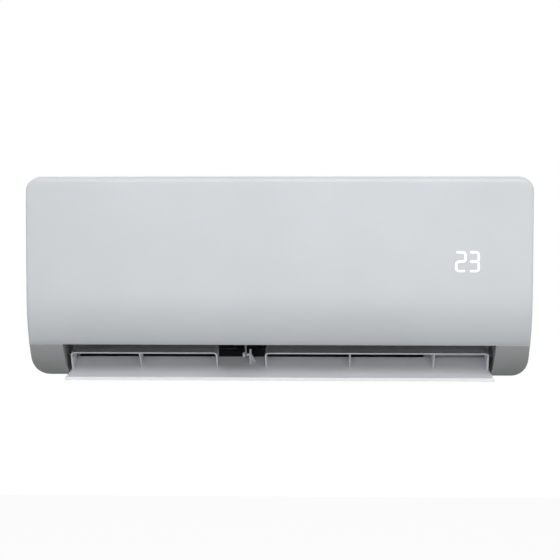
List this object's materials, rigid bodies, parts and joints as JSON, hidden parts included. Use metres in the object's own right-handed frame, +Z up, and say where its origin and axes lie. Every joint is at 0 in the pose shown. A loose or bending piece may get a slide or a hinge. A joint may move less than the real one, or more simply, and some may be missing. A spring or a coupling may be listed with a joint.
{
  "type": "wall-mounted air conditioner indoor unit",
  "caption": "Wall-mounted air conditioner indoor unit with a smooth hinged front panel, a lit display, an open outlet flap with inner guide blades, deflector vanes, a cross-flow fan and a coil.",
  "frame": {"origin": "on the wall, at the middle of the unit's width and height", "axes": "+X to the right seen from the front, +Y into the wall, +Z up"},
  "size_m": [0.7234, 0.198, 0.2929],
  "materials": {
    "panel_white": "satin white moulding",
    "body_white": "satin white moulding",
    "flap_white": "satin white moulding",
    "cap_grey": "fine grained mid grey moulding",
    "frame_dark": "dark grey moulding",
    "vane_dark": "dark grey moulding",
    "fan_dark": "dark glass-filled moulding",
    "arm_grey": "grey moulding",
    "plate_zinc": "galvanised sheet",
    "steel_bright": "plated steel",
    "motor_grey": "moulded stator casing",
    "fin_aluminium": "thin fins, pale blue lacquer",
    "copper": "drawn copper tube",
    "nut_brass": "forged and turned",
    "seal_rubber": "black rubber",
    "pipe_foam": "closed-cell foam",
    "filter_net": "framed nylon net",
    "board_green": "lacquered circuit board",
    "button_grey": "satin grey moulding",
    "digit_glow": "lit diffuser"
  },
  "bodies": {
    "housing": {"mounting_plate": "plate_zinc", "chassis": "body_white", "drain_pan": "frame_dark", "drain_plug": "seal_rubber", "casing": "body_white", "wiring_cover": "body_white", "lower_cover": "cap_grey", "casing_screw_left": "steel_bright", "casing_screw_right": "steel_bright", "flap_pin": "arm_grey", "centre_arm": "arm_grey", "centre_pin": "flap_white", "flap_motor": "motor_grey", "fan_bearing": "seal_rubber", "bearing_holder": "body_white", "fan_motor": "motor_grey", "motor_clamp": "plate_zinc", "clamp_screw": "steel_bright", "fins_front": "fin_aluminium", "fins_upper": "fin_aluminium", "fins_rear": "fin_aluminium", "coil_plate_left": "plate_zinc", "coil_plate_right": "plate_zinc", "coil_tubing": "copper", "gas_pipe": "copper", "liquid_pipe": "copper", "gas_nut": "nut_brass", "liquid_nut": "nut_brass", "pipe_insulation": "pipe_foam", "room_sensor": "seal_rubber", "control_box": "body_white", "control_box_cover": "body_white", "main_board": "board_green", "terminal_block": "frame_dark"},
    "panel": {"front_panel": "panel_white", "display_digit_tens": "digit_glow", "display_digit_units": "digit_glow", "display_housing": "frame_dark", "display_board": "board_green"},
    "flap": {"main_flap": "flap_white", "inner_blade_left": "flap_white", "inner_blade_right": "flap_white", "flap_drive_pin": "arm_grey"},
    "fan": {"fan_wheel": "fan_dark", "motor_shaft": "steel_bright"},
    "button": {"run_button": "button_grey"},
    "filter_left": {"filter_left": "filter_net"},
    "filter_right": {"filter_right": "filter_net"},
    "vane_left_1": {"vane_left_1": "vane_dark"},
    "vane_left_2": {"vane_left_2": "vane_dark"},
    "vane_left_3": {"vane_left_3": "vane_dark"},
    "vane_left_4": {"vane_left_4": "vane_dark"},
    "vane_left_5": {"vane_left_5": "vane_dark"},
    "link_bar_left": {"link_bar_left": "vane_dark"},
    "vane_right_1": {"vane_right_1": "vane_dark"},
    "vane_right_2": {"vane_right_2": "vane_dark"},
    "vane_right_3": {"vane_right_3": "vane_dark"},
    "vane_right_4": {"vane_right_4": "vane_dark"},
    "vane_right_5": {"vane_right_5": "vane_dark"},
    "link_bar_right": {"link_bar_right": "vane_dark"}
  },
  "joints": [
    {"name": "panel_hinge", "type": "hinge", "parent": "housing", "child": "panel", "pos_m": [0, -0.183, 0.138], "axis": [-1, 0, 0], "range_deg": [0, 60]},
    {"name": "flap_pivot", "type": "hinge", "parent": "housing", "child": "flap", "pos_m": [0, -0.13, -0.1135], "axis": [1, 0, 0], "range_deg": [-58.5, 35]},
    {"name": "fan_spin", "type": "hinge", "parent": "housing", "child": "fan", "pos_m": [0, -0.086, -0.03], "axis": [1, 0, 0], "continuous": true},
    {"name": "run_button_press", "type": "slide", "parent": "housing", "child": "button", "axis": [0, 1, 0], "range_m": [0, 0.0018], "stiffness_N_per_m": 150},
    {"name": "filter_left_slide", "type": "slide", "parent": "housing", "child": "filter_left", "axis": [0, 0, 1], "range_m": [0, 0.19]},
    {"name": "filter_right_slide", "type": "slide", "parent": "housing", "child": "filter_right", "axis": [0, 0, 1], "range_m": [0, 0.19]},
    {"name": "vane_left_1_pivot", "type": "hinge", "parent": "housing", "child": "vane_left_1", "pos_m": [-0.282, -0.05903, -0.10408], "axis": [0, -0.4934, 0.8698], "range_deg": [-30, 30]},
    {"name": "vane_left_2_pivot", "type": "hinge", "parent": "housing", "child": "vane_left_2", "pos_m": [-0.22862, -0.05903, -0.10408], "axis": [0, -0.4934, 0.8698], "range_deg": [-30, 30]},
    {"name": "vane_left_3_pivot", "type": "hinge", "parent": "housing", "child": "vane_left_3", "pos_m": [-0.17525, -0.05903, -0.10408], "axis": [0, -0.4934, 0.8698], "range_deg": [-30, 30]},
    {"name": "vane_left_4_pivot", "type": "hinge", "parent": "housing", "child": "vane_left_4", "pos_m": [-0.12187, -0.05903, -0.10408], "axis": [0, -0.4934, 0.8698], "range_deg": [-30, 30]},
    {"name": "vane_left_5_pivot", "type": "hinge", "parent": "housing", "child": "vane_left_5", "pos_m": [-0.0685, -0.05903, -0.10408], "axis": [0, -0.4934, 0.8698], "range_deg": [-30, 30]},
    {"name": "link_bar_left_pivot", "type": "hinge", "parent": "vane_left_3", "child": "link_bar_left", "pos_m": [-0.17525, -0.07388, -0.1063], "axis": [0, -0.4934, 0.8698], "range_deg": [-30, 30]},
    {"name": "vane_right_1_pivot", "type": "hinge", "parent": "housing", "child": "vane_right_1", "pos_m": [-0.026, -0.05903, -0.10408], "axis": [0, -0.4934, 0.8698], "range_deg": [-30, 30]},
    {"name": "vane_right_2_pivot", "type": "hinge", "parent": "housing", "child": "vane_right_2", "pos_m": [0.02925, -0.05903, -0.10408], "axis": [0, -0.4934, 0.8698], "range_deg": [-30, 30]},
    {"name": "vane_right_3_pivot", "type": "hinge", "parent": "housing", "child": "vane_right_3", "pos_m": [0.0845, -0.05903, -0.10408], "axis": [0, -0.4934, 0.8698], "range_deg": [-30, 30]},
    {"name": "vane_right_4_pivot", "type": "hinge", "parent": "housing", "child": "vane_right_4", "pos_m": [0.13975, -0.05903, -0.10408], "axis": [0, -0.4934, 0.8698], "range_deg": [-30, 30]},
    {"name": "vane_right_5_pivot", "type": "hinge", "parent": "housing", "child": "vane_right_5", "pos_m": [0.195, -0.05903, -0.10408], "axis": [0, -0.4934, 0.8698], "range_deg": [-30, 30]},
    {"name": "link_bar_right_pivot", "type": "hinge", "parent": "vane_right_3", "child": "link_bar_right", "pos_m": [0.0845, -0.07388, -0.1063], "axis": [0, -0.4934, 0.8698], "range_deg": [-30, 30]}
  ],
  "couplings": [
    {"joint": "vane_left_1_pivot", "follows": "vane_left_3_pivot", "ratio": 1},
    {"joint": "vane_left_2_pivot", "follows": "vane_left_3_pivot", "ratio": 1},
    {"joint": "vane_left_4_pivot", "follows": "vane_left_3_pivot", "ratio": 1},
    {"joint": "vane_left_5_pivot", "follows": "vane_left_3_pivot", "ratio": 1},
    {"joint": "link_bar_left_pivot", "follows": "vane_left_3_pivot", "ratio": -1},
    {"joint": "vane_right_1_pivot", "follows": "vane_right_3_pivot", "ratio": 1},
    {"joint": "vane_right_2_pivot", "follows": "vane_right_3_pivot", "ratio": 1},
    {"joint": "vane_right_4_pivot", "follows": "vane_right_3_pivot", "ratio": 1},
    {"joint": "vane_right_5_pivot", "follows": "vane_right_3_pivot", "ratio": 1},
    {"joint": "link_bar_right_pivot", "follows": "vane_right_3_pivot", "ratio": -1}
  ]
}
